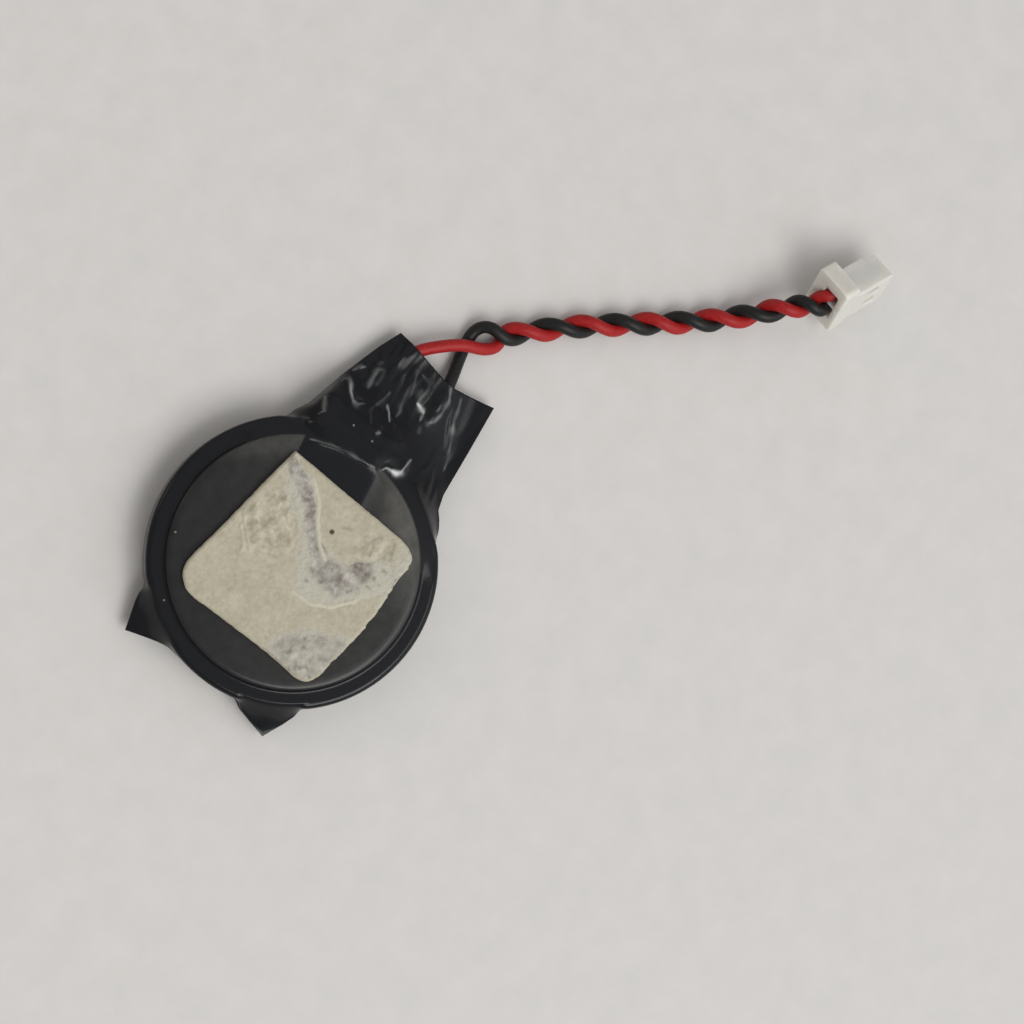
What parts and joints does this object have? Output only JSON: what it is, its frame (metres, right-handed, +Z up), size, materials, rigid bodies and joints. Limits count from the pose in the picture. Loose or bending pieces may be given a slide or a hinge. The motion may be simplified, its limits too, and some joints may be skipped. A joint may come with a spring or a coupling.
{
  "type": "wired coin cell",
  "caption": "Coin cell backup battery in black heat-shrink film with a foam pad on its face and a short twisted lead ending in a small white plug.",
  "frame": {"origin": "on the cell's axis, at the flat underside of the heat-shrink film", "axes": "+Z up through the cell to the foam pad, +X from the cell's centre towards the crumpled flap where the lead leaves, +Y to the left of +X; the axis runs through the disc, so the flap and the lead make the outline one-sided"},
  "size_m": [0.0547, 0.0328, 0.0055],
  "materials": {
    "can_steel": "satin nickel plate",
    "cap_steel": "satin nickel plate",
    "gasket_nylon": "matt",
    "lithium": "dull",
    "separator_film": "matt",
    "ring_steel": "satin",
    "cathode_powder": "matt pressed powder",
    "tab_nickel": "satin",
    "tape": "matt polyimide tape",
    "strands": "tinned copper",
    "solder": "bright solder",
    "red_insulation": "satin PVC",
    "black_insulation": "satin PVC",
    "pair_insulation": "satin PVC, one red and one black wire",
    "housing_nylon": "natural nylon, satin",
    "terminal_bronze": "tin plated",
    "shrink_film": "glossy black film",
    "adhesive": "clear acrylic",
    "foam": "fine closed-cell foam",
    "liner_paper": "torn fibrous paper"
  },
  "bodies": {
    "root": {"positive_can": "can_steel", "negative_cap": "cap_steel", "sealing_gasket": "gasket_nylon", "lithium_anode": "lithium", "separator": "separator_film", "cathode_ring": "ring_steel", "cathode_pellet": "cathode_powder", "negative_tab": "tab_nickel", "positive_tab": "tab_nickel", "tab_insulation_tape": "tape", "red_bare_strands": "strands", "black_bare_strands": "strands", "red_plug_strands": "strands", "black_plug_strands": "strands", "red_solder_joint": "solder", "black_solder_joint": "solder", "red_lead_tail": "red_insulation", "red_lead_end": "red_insulation", "black_lead_tail": "black_insulation", "black_lead_end": "black_insulation", "twisted_pair": "pair_insulation", "connector_housing": "housing_nylon", "crimp_terminal_red": "terminal_bronze", "crimp_terminal_black": "terminal_bronze", "heat_shrink_sleeve": "shrink_film", "pad_adhesive": "adhesive", "foam_pad": "foam", "torn_liner": "liner_paper"}
  },
  "joints": []
}
